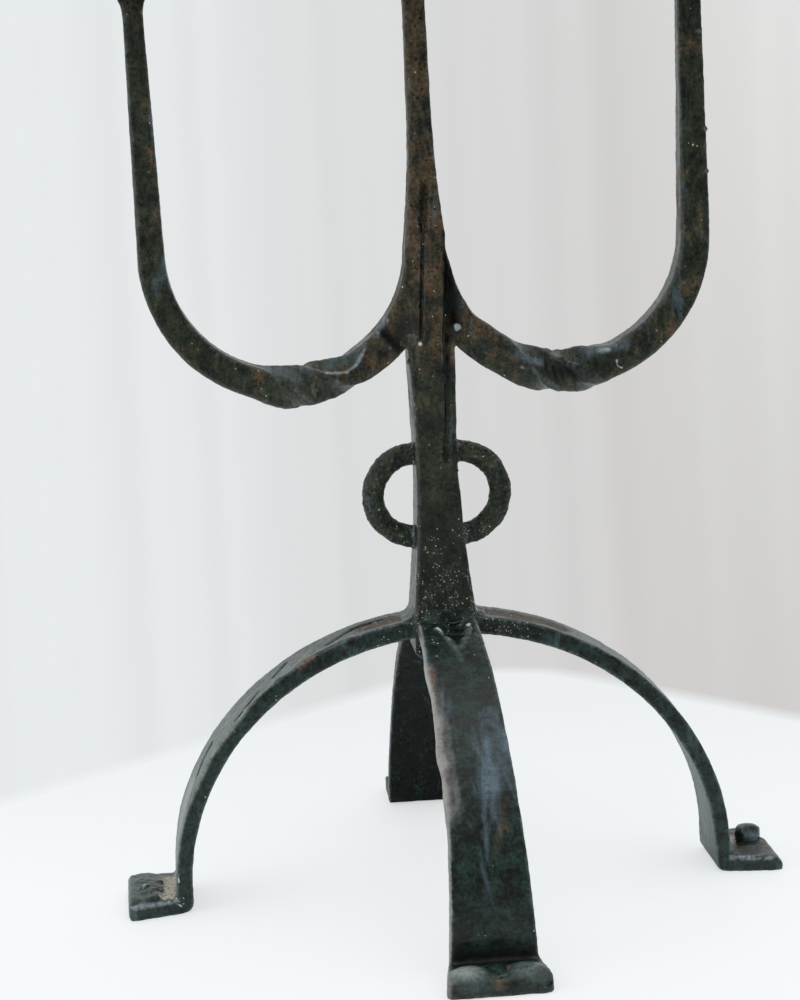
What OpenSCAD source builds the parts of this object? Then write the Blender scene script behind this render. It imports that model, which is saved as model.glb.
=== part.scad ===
// Forged three-light candle stand. A square stem is drawn out into the middle light, two curved
// arms with a half twist carry the outer lights, two half rings serve as handles, and four
// arched flat-bar legs end in out-turned pads. The origin is on the floor under the stem, +Z is
// up, the arms and the handles lie along X, and the front leg points to -Y. Millimetres.

/* [Stem] */
// Height of the stem's lower end above the floor
stem_z = 105; // [95:1:108]
// Width of the square stem where the legs meet it
stem_base_w = 28; // [24:0.5:34]
// Width of the stem at the handles
waist_w = 18.6; // [16:0.2:20]
// Width of the stem under the arms
junction_w = 20.2; // [19:0.2:22]
// Width of the middle upright where the left arm's seam ends
upright_w = 12.6; // [11:0.2:14]
// Width of the middle upright at its tip
tip_w = 9.2; // [8:0.2:11]
// Chamfer along the stem's corners
stem_chamfer = 1; // [0.4:0.1:2]
// Height of the shoulders that the pans rest on
shoulder_z = 397; // [380:1:420]
// Width of the upset end under a pan
shoulder_w = 14; // [12:0.5:18]
// How far the tips lean to the left of the stem's foot
lean = 2.1; // [0:0.1:4]

/* [Arms] */
// Radius of the arms' curve, along the bar's middle
arm_r = 58; // [54:1:62]
// Distance of the curve's centre from the stem's axis
arm_x = 59.5; // [57:0.5:63]
// Height of the curve's centre
arm_z = 286.5; // [280:0.5:292]
// How far an arm's tip stands outside the curve
arm_splay = 0.9; // [0:0.1:3]
// Width of the left arm at its tip
left_tip_w = 8.8; // [8:0.2:11]
// Width of the right arm at its tip
right_tip_w = 10.4; // [8:0.2:11]
// Width of the left arm where its curve begins
left_mid_w = 11.8; // [11:0.2:14]
// Width of the right arm where its curve begins
right_mid_w = 12.9; // [11:0.1:14]
// Width of an arm at the stem
arm_root_w = 15.6; // [14:0.2:17]
// Chamfer along the arms' corners
arm_chamfer = 1.2; // [0.4:0.1:2]
// Turn of the bar about itself in the twist, in degrees
twist = 180; // [90:90:180]
// Where the twist begins on the curve, in degrees from the outer side
twist_from = 71; // [60:1:80]
// Where the twist ends on the curve
twist_to = 121; // [110:1:130]
// Height of the lower end of the right arm's tail on the stem
tail_z = 186; // [180:1:200]

/* [Handles] */
// Radius of a handle ring, along the rod's middle
ring_r = 18.5; // [16:0.5:22]
// Diameter of the ring's rod
ring_rod = 9.6; // [8:0.2:10]
// Height of the rings' centre
ring_z = 177; // [175:0.5:182]

/* [Legs] */
// Distance of a leg's outer face from the axis, at the foot
leg_r = 124; // [110:1:130]
// Height of a leg's upper face, carried on to the axis
leg_top_z = 124; // [118:1:128]
// Thickness of a leg at the stem
leg_hub_t = 8; // [6:0.5:10]
// Thickness of a leg at the foot
leg_foot_t = 7; // [5:0.5:9]
// Width of a leg at the stem
leg_hub_w = 23; // [18:0.5:26]
// Width of a leg at the foot
leg_foot_w = 36; // [30:0.5:42]
// Height at which a leg stands plumb
knee_z = 10; // [9:1:14]
// Outside radius of the bend at the heel
heel_r = 4.5; // [2:0.5:6]
// Thickness of a foot pad
pad_t = 7; // [5:0.1:8]
// Length of a foot pad past the leg's outer face
pad_l = 21.6; // [20:0.1:28]
// Radius of a pad's outer corners
pad_corner = 3; // [1:0.5:5]

/* [Foot rivets] */
// Diameter of a rivet's shank
rivet_d = 6; // [4:0.5:8]
// Width of the left rivet's head
left_head_w = 15; // [10:0.5:17]
// Height of the left rivet's head
left_head_h = 4.2; // [3:0.2:7]
// Width of the right rivet's head
right_head_w = 11; // [9:0.5:15]
// Height of the right rivet's head
right_head_h = 7.2; // [3:0.2:8]
// Width of the front rivet's head
front_head_w = 16; // [10:0.5:17]
// Height of the front rivet's head
front_head_h = 5; // [3:0.2:7]
// Width of the back rivet's head
back_head_w = 13; // [10:0.5:16]
// Height of the back rivet's head
back_head_h = 5; // [3:0.2:7]

/* [Welds] */
// Leg of the fillet weld on top of a leg
leg_weld = 4.5; // [3:0.5:7]
// Leg of the bead around a handle's end
ring_weld = 1.2; // [0.6:0.2:2]

/* [Lights] */
// Diameter of the tenon that holds a pan and a socket
tenon_d = 7; // [5:0.5:8]
// Diameter of a drip pan
pan_d = 50; // [44:1:50]
// Thickness of a pan's sheet
pan_t = 1.6; // [1.2:0.1:2.5]
// Height of a pan's rim above its middle
pan_rise = 5; // [3:0.5:8]
// Diameter of the candle hole
candle_d = 22.8; // [21:0.2:25]
// Height of a socket
socket_h = 26; // [20:1:32]
// Wall of a socket
socket_wall = 1.6; // [1.2:0.1:2.5]

/* [Hidden] */
$fn = 64;

iron = [0.16, 0.18, 0.17];
rusty_iron = [0.27, 0.22, 0.19];
bright_iron = [0.30, 0.33, 0.34];

far = 500;
left = -1;
middle = 0;
right = 1;

// ---- Stem ----

// Heights along the stem, from the legs up: the foot of the flare, the waist, the crotch under
// the arms, the tops of the two seams, and the ends of the upright's two tapers.
flare_h = 62;
flare_z = leg_top_z - 1;
waist_z = flare_z + flare_h;
lean_z = flare_z + 7;
junction_z = arm_z - 44.5;
right_seam_z = arm_z + 4.5;
left_seam_z = arm_z + 29.5;
upright_z = arm_z + 36;
slim_z = arm_z + 54.5;
neck_h = 8;
lower_bevel = 3.5;

// The stand is plumb up to lean_z and leans evenly above it.
function sway(z) = -lean * max(0, z - lean_z) / (shoulder_z - lean_z);

// Rows of [height, half width, half depth]: the chamfered lower end, the flare over the legs,
// the waist, the junction with the arms, the long taper and the upset shoulder.
function square_row(z, w) = [z, w / 2, w / 2];
stem_rows = concat(
    [square_row(stem_z, stem_base_w - 2 * lower_bevel),
     square_row(stem_z + lower_bevel, stem_base_w - 0.6)],
    [for (i = [0:6]) let (t = i / 6)
        square_row(flare_z + t * (waist_z - flare_z),
            waist_w + (stem_base_w - waist_w) * pow(1 - t, 1.5))],
    [[waist_z + 20, waist_w / 2 - 0.1, waist_w / 2 - 0.2],
     [junction_z - 4, junction_w / 2, waist_w / 2 - 0.7],
     [arm_z - 12, junction_w / 2, waist_w / 2 - 1.2],
     [arm_z, arm_x - arm_r + arm_root_w / 2, upright_w / 2 + 1.3],
     [arm_z + 6, upright_w / 2 + 1.9, upright_w / 2 + 0.9],
     [left_seam_z - 10, upright_w / 2 + 0.5, upright_w / 2 + 0.2]],
    [square_row(upright_z, upright_w - 1.2), square_row(slim_z, tip_w + 1),
     square_row(shoulder_z - neck_h, tip_w), square_row(shoulder_z - neck_h / 2, tip_w + 1.4),
     square_row(shoulder_z, shoulder_w)]);
stem_halves = [for (r = stem_rows) [r[0], r[1]]];
function stem_half(z) = lookup(z, stem_halves);

// The seams between the stem and the arms' roots, as distances outward from the leaning axis.
// The left arm's root runs up the upright, and the right arm's root also runs down the stem.
left_seam = [[far, junction_z], [5, junction_z], [1.2, left_seam_z - 10],
    [stem_half(left_seam_z) + 0.5, left_seam_z], [far, left_seam_z]];
right_seam = [[far, tail_z], [stem_half(tail_z) + 0.2, tail_z], [4.3, tail_z + 12],
    [4.9, junction_z + 4], [stem_half(right_seam_z) + 0.2, right_seam_z], [far, right_seam_z]];

// What lies beyond a seam, on one side of the stand.
module beyond(seam, side) {
    rotate([90, 0, 0])
        linear_extrude(height = far, center = true)
            polygon([for (p = seam) [side * p[0] + sway(p[1]), p[1]]]);
}

// The whole stem as one chamfered bar: four slabs crossed at 45 degrees.
module stem_bar() {
    intersection_for (turn = [0:45:135]) {
        reach = [for (r = stem_rows)
            turn == 0 ? r[1] : turn == 90 ? r[2] : (r[1] + r[2] - stem_chamfer) / sqrt(2)];
        last = len(stem_rows) - 1;
        rotate([0, 0, turn]) rotate([90, 0, 0])
            linear_extrude(height = far, center = true)
                polygon(concat(
                    [for (i = [0:last]) let (z = stem_rows[i][0]) [sway(z) * cos(turn) + reach[i], z]],
                    [for (i = [last:-1:0]) let (z = stem_rows[i][0]) [sway(z) * cos(turn) - reach[i], z]]));
    }
}

// Puts its children on a light's shoulder.
module at_light(side) {
    translate([side * (arm_x + arm_r + arm_splay) + sway(shoulder_z), 0, shoulder_z]) children();
}

// The round tenon that goes through a pan and a socket, with its peened head.
module tenon() {
    seat = pan_t + socket_wall;
    translate([0, 0, -1]) cylinder(d = tenon_d, h = seat + 1.5);
    translate([0, 0, seat]) intersection() {
        cylinder(d = tenon_d + 5, h = 2.4);
        translate([0, 0, -6]) sphere(r = 8.4);
    }
}

module stem() {
    color(rusty_iron) {
        difference() {
            stem_bar();
            beyond(left_seam, left);
            beyond(right_seam, right);
        }
        at_light(middle) tenon();
    }
}

// ---- Arms ----

curve_step = 3.75;
root_depth = arm_root_w - 0.6;
neck_z = shoulder_z - neck_h;

// One row of an arm's bar: its place [x, z] from the axis, the direction of the curve's inside
// in degrees, its half width and the turn of its section.
function upper_row(z, half) = [[arm_x + arm_r + arm_splay * (z - arm_z) / (shoulder_z - arm_z), z],
    180, half, 0];
function upper_half(z, tip, mid) = let (t = max(0, (neck_z - z) / (neck_z - arm_z)))
    (tip + (mid - tip) * pow(t, 1.4)) / 2;
function ease(t) = let (u = min(1, max(0, t))) u * u * (3 - 2 * u);
function curve_row(a, mid) = [[arm_x + arm_r * cos(a), arm_z - arm_r * sin(a)], 180 - a,
    (mid + (arm_root_w - mid) * a / 180) / 2,
    twist * ease((a - twist_from) / (twist_to - twist_from))];

function arm_rows(tip, mid) = concat(
    [upper_row(shoulder_z, shoulder_w / 2), upper_row(shoulder_z - neck_h / 2, tip / 2 + 0.7)],
    [for (i = [0:6]) let (z = neck_z - i * (neck_z - arm_z) / 7)
        upper_row(z, upper_half(z, tip, mid))],
    [for (a = [curve_step:curve_step:180]) curve_row(a, mid)]);

// Corners of a chamfered square section, turned about its middle.
function section(half, turn) = let (k = half - arm_chamfer)
    [for (p = [[half, -k], [half, k], [k, half], [-k, half],
               [-half, k], [-half, -k], [-k, -half], [k, -half]])
        [p[0] * cos(turn) - p[1] * sin(turn), p[0] * sin(turn) + p[1] * cos(turn)]];

function row_points(row, side) = [for (p = section(row[2], row[3]))
    let (x = row[0][0] + p[0] * cos(row[1]), z = row[0][1] + p[0] * sin(row[1]))
        [side * x + sway(z), side * p[1], z]];

module arm_bar(tip, mid, side) {
    rows = arm_rows(tip, mid);
    last = len(rows) - 1;
    points = [for (r = rows) each row_points(r, side)];
    walls = [for (i = [0:last - 1], k = [0:7]) let (a = i * 8 + k, b = i * 8 + (k + 1) % 8)
        each [[a, a + 8, b + 8], [a, b + 8, b]]];
    ends = [[for (k = [0:7]) k], [for (k = [7:-1:0]) last * 8 + k]];
    polyhedron(points = points, faces = concat(walls, ends));
}

// An arm: the curved bar up to the seam, and its root, which fills the stem's notch a little
// behind the stem's front face.
module arm(tip, mid, side, seam) {
    outside = concat([[far, 0], [stem_half(junction_z), 0]],
        [for (i = [1:len(seam) - 2]) if (seam[i][1] >= junction_z) seam[i]],
        [[arm_x / 2, left_seam_z], [arm_x / 2, far], [far, far]]);
    intersection() {
        arm_bar(tip, mid, side);
        beyond(outside, side);
    }
    intersection() {
        stem_bar();
        beyond(seam, side);
        translate([0, 0, far / 2]) cube([far, root_depth, far], center = true);
    }
    at_light(side) tenon();
}

module left_arm() {
    color(iron) arm(left_tip_w, left_mid_w, left, left_seam);
}

module right_arm() {
    color(iron) arm(right_tip_w, right_mid_w, right, right_seam);
}

// ---- Handles ----

// A half ring with straight ends that run into the stem.
module ring_bar(side) {
    stub = 4;
    translate([side * stem_half(ring_z) + sway(ring_z), 0, ring_z]) {
        intersection() {
            rotate([90, 0, 0]) rotate_extrude() translate([ring_r, 0]) circle(d = ring_rod);
            translate([side * far / 2, 0, 0]) cube(far, center = true);
        }
        for (end = [-1, 1])
            translate([-side * stub / 2, 0, end * ring_r])
                rotate([0, 90, 0]) cylinder(d = ring_rod, h = stub + 0.02, center = true);
    }
}

module half_ring(side) {
    difference() {
        ring_bar(side);
        stem_bar();
    }
}

module left_ring() {
    color(iron) half_ring(left);
}

module right_ring() {
    color(iron) half_ring(right);
}

module ring_welds() {
    bead_l = 5;
    color(bright_iron)
        for (side = [left, right], end = [-1, 1])
            difference() {
                translate([side * (stem_half(ring_z + end * ring_r) - 2) + sway(ring_z), 0,
                        ring_z + end * ring_r])
                    rotate([0, side * 90, 0])
                        cylinder(d1 = ring_rod + 2 * ring_weld, d2 = ring_rod - 0.6, h = bead_l);
                ring_bar(side);
                stem_bar();
            }
}

// ---- Legs ----

leg_step = 3;
pad_r = leg_r + pad_l;
rivet_r = leg_r + pad_l / 2;

// Side view of a leg, out along X: the arch, the heel, the pad and the arch's underside.
module leg_side() {
    fillet = 2;
    end_bevel = 1.2;
    in_r = leg_r - leg_foot_t;
    in_z = leg_top_z - leg_hub_t;
    polygon(concat(
        [for (a = [leg_step:leg_step:90]) [leg_r * sin(a), knee_z + (leg_top_z - knee_z) * cos(a)]],
        [for (a = [180:30:270])
            [leg_r + fillet + fillet * cos(a), pad_t + fillet + fillet * sin(a)]],
        [[pad_r - end_bevel, pad_t], [pad_r, pad_t - end_bevel], [pad_r, 0.6], [pad_r - 0.6, 0]],
        [for (a = [270:-15:180]) [in_r + heel_r + heel_r * cos(a), heel_r + heel_r * sin(a)]],
        [for (a = [90:-leg_step:leg_step]) [in_r * sin(a), knee_z + (in_z - knee_z) * cos(a)]]));
}

// Front view of a leg: it widens evenly from the stem to the knee.
module leg_front() {
    hub = leg_hub_w / 2;
    foot = leg_foot_w / 2;
    polygon([[-hub, leg_top_z], [hub, leg_top_z], [foot, knee_z], [foot, 0], [-foot, 0],
        [-foot, knee_z]]);
}

// Plan of a pad. It fans out to one half width on each side, and its +Y corner is set back.
module pad_plan(minus_w, plus_w, set_back) {
    heel = leg_r - leg_foot_t;
    foot = leg_foot_w / 2;
    round_x = pad_r - pad_corner;
    polygon(concat(
        [[heel, foot], [heel, -foot]],
        [for (a = [-90:22.5:0])
            [round_x + pad_corner * cos(a), -minus_w + pad_corner + pad_corner * sin(a)]],
        set_back > 0 ? [[pad_r, 0]] : [],
        [for (a = [0:22.5:90])
            [round_x - set_back + pad_corner * cos(a), plus_w - pad_corner + pad_corner * sin(a)]]));
}

// One leg, turned about the stand's axis and moved sideways by shift.
module leg(turn, shift, minus_w, plus_w, set_back, rivet_shift) {
    rotate([0, 0, turn]) translate([0, shift, 0])
        difference() {
            intersection() {
                rotate([90, 0, 0]) linear_extrude(height = far, center = true) leg_side();
                union() {
                    rotate([90, 0, 90]) linear_extrude(height = leg_r + 2) leg_front();
                    linear_extrude(height = pad_t + 0.01) pad_plan(minus_w, plus_w, set_back);
                }
            }
            translate([rivet_r, rivet_shift, -1]) cylinder(d = rivet_d, h = pad_t + 2);
        }
}

// Each foot: its turn and shift, how far its pad reaches to the two sides, how far its +Y corner
// is set back, and how far its rivet is off the leg's middle.
spread = leg_foot_w / 2;
left_foot = [180, 0, spread + 1, spread + 7, 0, -1];
right_foot = [0, 0.5, spread + 4, spread + 4, 8, 3.5];
front_foot = [-90, 1.5, spread + 4, spread + 3, 0, 0];
back_foot = [90, -1.5, spread + 1, spread - 0.5, 0, 1];

module leg_on_stem(f) {
    color(iron) difference() {
        leg(f[0], f[1], f[2], f[3], f[4], f[5]);
        stem_bar();
    }
}

module left_leg() {
    leg_on_stem(left_foot);
}

module right_leg() {
    leg_on_stem(right_foot);
}

module front_leg() {
    leg_on_stem(front_foot);
}

module back_leg() {
    leg_on_stem(back_foot);
}

// A fillet of weld metal along the top of each leg's root.
module leg_welds() {
    color(bright_iron)
        for (f = [left_foot, right_foot, front_foot, back_foot])
            difference() {
                rotate([0, 0, f[0]]) translate([0, f[1], 0]) rotate([90, 0, 0])
                    linear_extrude(height = leg_hub_w - 2, center = true)
                        polygon(concat(
                            [[stem_base_w / 2 - 3, leg_top_z - 4],
                             [stem_base_w / 2 - 3, leg_top_z + leg_weld]],
                            [for (a = [180:22.5:270])
                                [stem_base_w / 2 + leg_weld + leg_weld * cos(a),
                                 leg_top_z + leg_weld - 0.6 + leg_weld * sin(a)]],
                            [[stem_base_w / 2 + leg_weld, leg_top_z - 4]]));
                leg(f[0], f[1], f[2], f[3], f[4], f[5]);
                stem_bar();
            }
}

// ---- Foot rivets ----

// A rivet through a pad. Its hammered head has flat sides under a domed top.
module foot_rivet(f, head_w, head_h, sides) {
    dome = head_w;
    rotate([0, 0, f[0]]) translate([rivet_r, f[1] + f[5], 0]) {
        cylinder(d = rivet_d, h = pad_t + 1);
        translate([0, 0, pad_t]) intersection() {
            cylinder(d = head_w, h = head_h, $fn = sides);
            translate([0, 0, head_h - dome]) sphere(r = dome);
        }
    }
}

module left_foot_rivet() {
    color(bright_iron) foot_rivet(left_foot, left_head_w, left_head_h, 7);
}

module right_foot_rivet() {
    color(iron) foot_rivet(right_foot, right_head_w, right_head_h, 6);
}

module front_foot_rivet() {
    color(iron) foot_rivet(front_foot, front_head_w, front_head_h, 8);
}

module back_foot_rivet() {
    color(iron) foot_rivet(back_foot, back_head_w, back_head_h, 7);
}

// ---- Lights ----

// A dished drip pan with a hole for the tenon.
module pan(side) {
    flat_r = candle_d / 2 + socket_wall;
    rim_r = pan_d / 2;
    steps = 6;
    function dish(t) = [flat_r + (rim_r - flat_r) * t, pan_rise * t * t];
    color(iron) at_light(side)
        rotate_extrude()
            polygon(concat(
                [[tenon_d / 2, 0]],
                [for (i = [0:steps]) dish(i / steps)],
                [for (i = [steps:-1:0]) dish(i / steps) + [0, pan_t]],
                [[tenon_d / 2, pan_t]]));
}

module left_pan() {
    pan(left);
}

module center_pan() {
    pan(middle);
}

module right_pan() {
    pan(right);
}

// A candle socket: a cup with a rolled lip, held down by the tenon's head.
module socket(side) {
    in_r = candle_d / 2;
    out_r = in_r + socket_wall;
    lip_r = out_r + 2;
    head_room = 3;
    color(iron) at_light(side) translate([0, 0, pan_t])
        rotate_extrude()
            polygon([[tenon_d / 2, 0], [out_r - 2.5, 0], [out_r - 0.7, 0.7], [out_r, 2.5],
                [out_r, socket_h - 3.4], [lip_r, socket_h - 1.4], [lip_r, socket_h - 0.4],
                [lip_r - 0.4, socket_h], [in_r + 0.8, socket_h], [in_r, socket_h - 0.8],
                [in_r, socket_wall + head_room], [in_r - 2, socket_wall],
                [tenon_d / 2, socket_wall]]);
}

module left_socket() {
    socket(left);
}

module center_socket() {
    socket(middle);
}

module right_socket() {
    socket(right);
}

stem();
left_arm();
right_arm();
left_ring();
right_ring();
left_leg();
right_leg();
front_leg();
back_leg();
left_foot_rivet();
right_foot_rivet();
front_foot_rivet();
back_foot_rivet();
leg_welds();
ring_welds();
left_pan();
center_pan();
right_pan();
left_socket();
center_socket();
right_socket();
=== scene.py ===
import math
import random

import bpy
import numpy as np
from mathutils import Matrix, Vector


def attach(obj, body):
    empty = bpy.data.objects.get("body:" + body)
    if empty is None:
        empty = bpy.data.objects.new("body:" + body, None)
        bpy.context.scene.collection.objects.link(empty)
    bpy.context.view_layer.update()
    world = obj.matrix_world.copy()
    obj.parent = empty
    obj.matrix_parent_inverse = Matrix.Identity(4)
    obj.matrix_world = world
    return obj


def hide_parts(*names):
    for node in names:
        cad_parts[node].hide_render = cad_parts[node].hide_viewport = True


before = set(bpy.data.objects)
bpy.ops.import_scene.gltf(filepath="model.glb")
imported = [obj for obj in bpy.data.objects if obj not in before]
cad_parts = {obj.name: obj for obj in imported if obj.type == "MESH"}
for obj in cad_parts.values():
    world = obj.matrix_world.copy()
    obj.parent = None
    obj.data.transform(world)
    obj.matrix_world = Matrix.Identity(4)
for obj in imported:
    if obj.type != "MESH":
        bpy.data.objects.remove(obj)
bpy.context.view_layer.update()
mm = 0.001
mergeWithin = 0.002 * mm        # vertices of a CAD copy that are this close become one
scene = bpy.context.scene
print("frame loaded")


# Camera: the photo's own viewpoint, about 1.1 m away and a little above the stand.
cameraPlace = {
    "position": (-126.5 * mm, -1112.2 * mm, 384.7 * mm),
    "turn": 5.64,         # degrees from +Y towards +X
    "pitch": 10.62,       # degrees below level
    "roll": -2.47,
    "lens": 93.46,        # mm
    "sensor": 36,         # mm, along the photo's height
}


def placeCamera():
    look = cameraPlace
    turn, pitch, roll = (math.radians(look[k]) for k in ("turn", "pitch", "roll"))
    forward = Vector((math.sin(turn) * math.cos(pitch), math.cos(turn) * math.cos(pitch),
                      -math.sin(pitch)))
    level = Vector((math.cos(turn), -math.sin(turn), 0))
    upward = level.cross(forward)
    right = math.cos(roll) * level + math.sin(roll) * upward
    up = math.cos(roll) * upward - math.sin(roll) * level
    lens = bpy.data.cameras.new("photoView")
    lens.lens = look["lens"]
    lens.sensor_width = look["sensor"]
    lens.sensor_fit = "AUTO"
    lens.dof.use_dof = False
    camera = bpy.data.objects.new("photoView", lens)
    scene.collection.objects.link(camera)
    axes = Matrix((right, up, -forward)).transposed().to_4x4()
    camera.matrix_world = Matrix.Translation(look["position"]) @ axes
    scene.camera = camera


placeCamera()
print("camera placed")


def leaveEditMode():
    if bpy.context.mode != "OBJECT":
        bpy.ops.object.mode_set(mode="OBJECT")


def pick(piece):
    leaveEditMode()
    bpy.ops.object.select_all(action="DESELECT")
    piece.select_set(True)
    bpy.context.view_layer.objects.active = piece


def openWhole(piece):
    # Edit mode with everything selected.
    pick(piece)
    bpy.ops.object.mode_set(mode="EDIT")
    bpy.ops.mesh.select_mode(type="VERT")
    bpy.ops.mesh.select_all(action="SELECT")


def modify(piece, kind, **settings):
    modifier = piece.modifiers.new(kind.title(), kind)
    for key, value in settings.items():
        setattr(modifier, key, value)
    pick(piece)
    bpy.ops.object.modifier_apply(modifier=modifier.name)


def twin(piece, name):
    made = bpy.data.objects.new(name, piece.data.copy())
    scene.collection.objects.link(made)
    return made


def copyOfNode(cadName, name=None):
    # A free copy of a CAD node's mesh, with its loose triangles merged.
    piece = twin(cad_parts[cadName], name or "forged_" + cadName)
    piece.data.materials.clear()
    openWhole(piece)
    bpy.ops.mesh.remove_doubles(threshold=mergeWithin)
    leaveEditMode()
    return piece


def cutOff(piece, place, outward):
    # Cuts a closed mesh with a plane, drops the side that `outward` points to and closes the cut.
    openWhole(piece)
    bpy.ops.mesh.bisect(plane_co=place, plane_no=outward, use_fill=True, clear_outer=True)
    leaveEditMode()


def join(piece, others):
    pick(piece)
    for other in others:
        other.select_set(True)
    bpy.ops.object.join()


def selectNear(piece, path, width):
    # Opens a piece in edit mode with the vertices selected that lie within half a width of a path.
    mesh = piece.data
    points = np.empty(len(mesh.vertices) * 3)
    mesh.vertices.foreach_get("co", points)
    points = points.reshape(-1, 3)
    path = np.array(path, float) * mm
    if len(path) == 1:
        path = np.repeat(path, 2, axis=0)
    away = np.full(len(points), np.inf)
    for start, end in zip(path[:-1], path[1:]):
        run = end - start
        length = max(run @ run, 1e-12)      # a single place has no length
        share = np.clip((points - start) @ run / length, 0, 1)[:, None]
        away = np.minimum(away, np.linalg.norm(points - start - share * run, axis=1))
    openWhole(piece)
    bpy.ops.mesh.select_all(action="DESELECT")
    leaveEditMode()
    reach = max(width * mm / 2, away.min() + 0.01 * mm)     # one vertex at the least
    mesh.vertices.foreach_set("select", away <= reach)
    bpy.ops.object.mode_set(mode="EDIT")


def following(reach):
    # What lies within reach of a move goes along, less and less.
    return {"use_proportional_edit": True, "proportional_edit_falloff": "SMOOTH",
            "proportional_size": reach * mm}


def press(piece, strokes):
    # Hammer and chisel strokes in mm: (path, width, reach, depth). The surface along the path goes
    # in by the depth, or out where it is negative, and what lies within reach follows.
    for path, width, reach, depth in strokes:
        selectNear(piece, path, width)
        bpy.ops.transform.shrink_fatten(value=-depth * mm, **following(reach))
        leaveEditMode()


def pull(piece, moves):
    # As press, but everything moves the same way: (path, width, reach, move).
    for path, width, reach, move in moves:
        selectNear(piece, path, width)
        bpy.ops.transform.translate(value=[v * mm for v in move], **following(reach))
        leaveEditMode()


def ease(piece, strokes):
    # Rubs out what lies along a path: (path, width, times).
    for path, width, count in strokes:
        selectNear(piece, path, width)
        bpy.ops.mesh.vertices_smooth(factor=0.5, repeat=count)
        leaveEditMode()


def dent(piece, size, depth):
    # Pushes the surface in and out along its normals by a cloud texture in the shared frame, so
    # that neighbours get the same dents where they meet.
    texture = bpy.data.textures.new(piece.name, type="CLOUDS")
    texture.noise_scale = size * mm
    texture.noise_depth = 1
    texture.noise_type = "SOFT_NOISE"
    modify(piece, "DISPLACE", texture=texture, strength=depth * mm, mid_level=0.5,
           texture_coords="LOCAL")
    bpy.data.textures.remove(texture)


def revoxel(piece, look):
    modify(piece, "REMESH", mode="VOXEL", voxel_size=look["cell"] * mm, use_smooth_shade=True)


def soften(piece, count):
    modify(piece, "SMOOTH", factor=0.5, iterations=count)


def skinOver(piece, look):
    # An even voxel skin with soft edges in place of the sharp CAD faces.
    revoxel(piece, look)
    soften(piece, look["soften"])


def hammer(piece, dents):
    for size, depth in dents:
        dent(piece, size, depth)
    soften(piece, 1)
    pick(piece)
    bpy.ops.object.shade_smooth()


def finishPiece(piece, cadName, skin):
    piece.data.materials.clear()
    piece.data.materials.append(skin)
    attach(piece, "root")
    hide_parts(cadName)
    print(piece.name, len(piece.data.polygons), "faces")


def node(tree, kind, **settings):
    made = tree.nodes.new("ShaderNode" + kind)
    for key, value in settings.items():
        setattr(made, key, value)
    return made


def feed(socket, value):
    # Links an output to a socket, or sets a plain value on it.
    if isinstance(value, (int, float, Vector)):
        socket.default_value = value
    elif isinstance(value, tuple):
        socket.default_value = (*value, 1)
    else:
        socket.id_data.links.new(value, socket)


def combine(operation, a, b, clamp=False):
    # As the other helpers, it adds its node to the tree of the sockets that it is given.
    tree = next(value.id_data for value in (a, b) if isinstance(value, bpy.types.NodeSocket))
    made = node(tree, "Math", operation=operation, use_clamp=clamp)
    feed(made.inputs[0], a)
    feed(made.inputs[1], b)
    return made.outputs["Value"]


def times(*values):
    result = values[0]
    for value in values[1:]:
        result = combine("MULTIPLY", result, value)
    return result


def total(*values):
    result = values[0]
    for value in values[1:]:
        result = combine("ADD", result, value)
    return result


def rise(value, low, high, bottom=0.0, top=1.0):
    # Goes from bottom to top while the value goes from low to high.
    made = node(value.id_data, "MapRange")
    for name, number in zip(("Value", "From Min", "From Max", "To Min", "To Max"),
                            (value, low, high, bottom, top)):
        feed(made.inputs[name], number)
    return made.outputs["Result"]


def between(value, low, high, soft):
    # 1 between low and high, and softly down to 0 outside.
    return times(rise(value, low - soft, low), rise(value, high + soft, high))


def noise(where, size, detail=4, roughness=0.6, distortion=0.0):
    made = node(where.id_data, "TexNoise")
    feed(made.inputs["Vector"], where)
    made.inputs["Scale"].default_value = 1 / (size * mm)
    made.inputs["Detail"].default_value = detail
    made.inputs["Roughness"].default_value = roughness
    made.inputs["Distortion"].default_value = distortion
    return made.outputs["Fac"]


def cells(where, size):
    made = node(where.id_data, "TexVoronoi")
    feed(made.inputs["Vector"], where)
    made.inputs["Scale"].default_value = 1 / (size * mm)
    tint = node(where.id_data, "SeparateColor")
    feed(tint.inputs["Color"], made.outputs["Color"])
    return made.outputs["Distance"], tint.outputs["Red"]


def stretched(where, scale):
    made = node(where.id_data, "Mapping")
    feed(made.inputs["Vector"], where)
    made.inputs["Scale"].default_value = scale
    return made.outputs["Vector"]


def arrows(operation, a, b):
    made = node(a.id_data, "VectorMath", operation=operation)
    feed(made.inputs[0], a)
    feed(made.inputs[1], b)
    return made


nearCore = 0.3          # the share of a reach that is full


def near(where, path, reach):
    # 1 at a place, or along a line between two places in mm, and 0 at its reach.
    start, end = (Vector(point) * mm for point in (path[0], path[-1]))
    offset = arrows("SUBTRACT", where, start).outputs["Vector"]
    if end != start:
        run = end - start
        share = arrows("DOT_PRODUCT", offset, run / run.length_squared).outputs["Value"]
        along = node(where.id_data, "VectorMath", operation="SCALE")
        feed(along.inputs[0], run)
        feed(along.inputs["Scale"], combine("MULTIPLY", share, 1.0, clamp=True))
        offset = arrows("SUBTRACT", offset, along.outputs["Vector"]).outputs["Vector"]
    away = node(where.id_data, "VectorMath", operation="LENGTH")
    feed(away.inputs[0], offset)
    return rise(away.outputs["Value"], reach * mm, nearCore * reach * mm)


def blend(share, a, b):
    made = node(share.id_data, "Mix", data_type="RGBA")
    for name, value in (("Factor_Float", share), ("A_Color", a), ("B_Color", b)):
        feed(next(s for s in made.inputs if s.identifier == name), value)
    return next(s for s in made.outputs if s.identifier == "Result_Color")


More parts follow.
